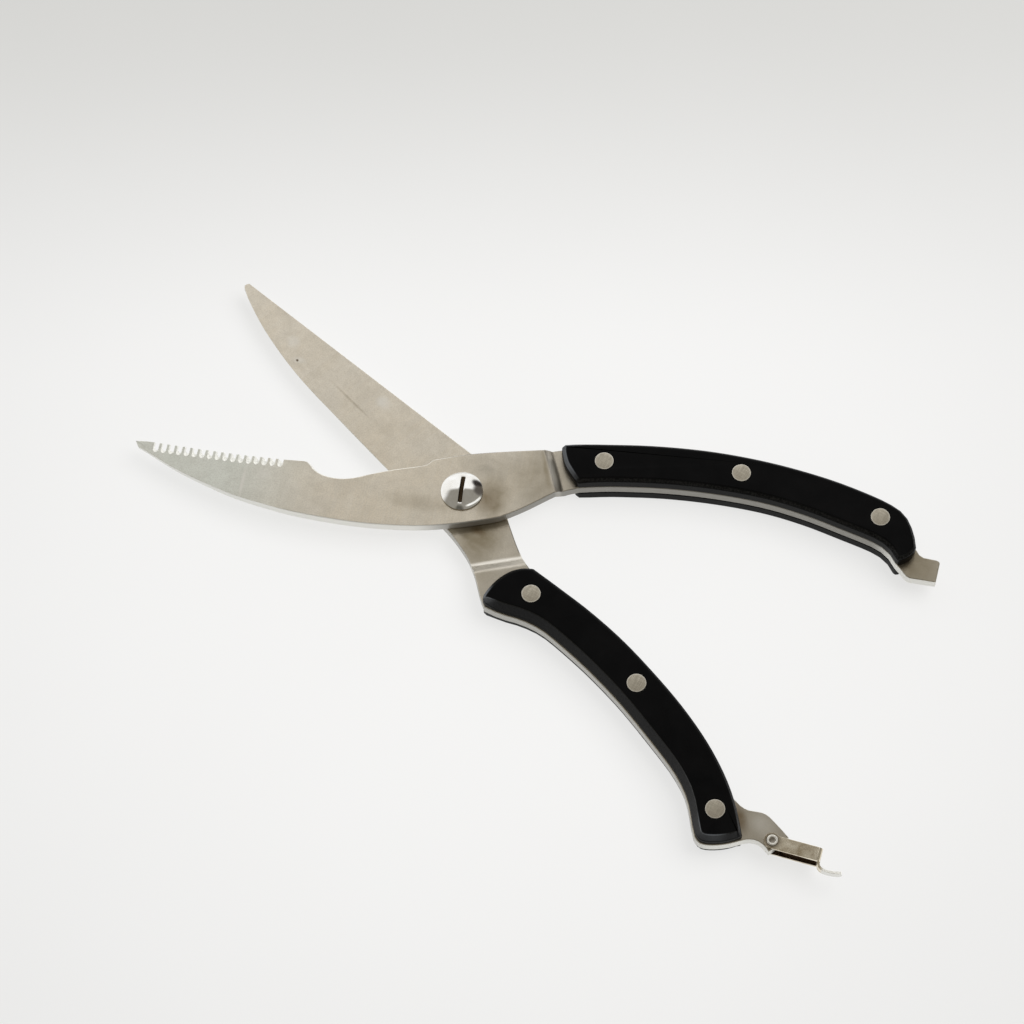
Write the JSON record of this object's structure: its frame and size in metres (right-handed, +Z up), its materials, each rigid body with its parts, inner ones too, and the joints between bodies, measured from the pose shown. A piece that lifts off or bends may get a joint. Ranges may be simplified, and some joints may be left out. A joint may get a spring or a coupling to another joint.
{
  "type": "poultry shears",
  "caption": "Spring-loaded poultry shears: a notched, serrated blade and a plain blade on a domed pivot screw, riveted handle scales and a swinging latch that holds the handles closed.",
  "frame": {"origin": "on the pivot axis, on the flat underside of the pivot nut, which is level with the undersides of the handle scales", "axes": "+Z up along the pivot axis towards the domed screw head, +X from the blade tips to the handles along the middle of the opening, +Y towards the handle of the serrated half"},
  "size_m": [0.2568, 0.1238, 0.0126],
  "materials": {
    "blade_steel": "satin-ground stainless steel, warm grey, with fine grinding lines across the blade",
    "handle_plastic": "moulded near-black plastic, satin, with polished bevels",
    "rivet_steel": "flush-ground rivet heads, satin",
    "polished_steel": "mirror-polished domed screw head",
    "latch_nickel": "nickel-plated bent sheet, warm and slightly dull",
    "spring_steel": "drawn spring wire"
  },
  "bodies": {
    "plain_half": {"plain_blade": "blade_steel", "plain_scale_top": "handle_plastic", "plain_scale_bottom": "handle_plastic", "plain_rivet_sleeve_1": "rivet_steel", "plain_rivet_pin_1": "rivet_steel", "plain_rivet_sleeve_2": "rivet_steel", "plain_rivet_pin_2": "rivet_steel", "plain_rivet_sleeve_3": "rivet_steel", "plain_rivet_pin_3": "rivet_steel", "pivot_screw": "polished_steel", "pivot_nut": "blade_steel", "pivot_washer": "blade_steel", "pivot_spring": "spring_steel", "latch_rivet": "latch_nickel"},
    "serrated_half": {"serrated_blade": "blade_steel", "serrated_scale_top": "handle_plastic", "serrated_scale_bottom": "handle_plastic", "serrated_rivet_sleeve_1": "rivet_steel", "serrated_rivet_pin_1": "rivet_steel", "serrated_rivet_sleeve_2": "rivet_steel", "serrated_rivet_pin_2": "rivet_steel", "serrated_rivet_sleeve_3": "rivet_steel", "serrated_rivet_pin_3": "rivet_steel"},
    "latch": {"latch_bail": "latch_nickel"}
  },
  "joints": [
    {"name": "shears_pivot", "type": "hinge", "parent": "plain_half", "child": "serrated_half", "pos_m": [0, 0, 0], "axis": [0, 0, -1], "range_deg": [0, 36.8], "stiffness_Nm_per_rad": 0.8, "springref_deg": -28.65, "deforming": ["pivot_spring"]},
    {"name": "latch_swing", "type": "hinge", "parent": "plain_half", "child": "latch", "pos_m": [0.1345, -0.0558, 0], "axis": [0, 0, 1], "range_deg": [-125, 60]}
  ]
}
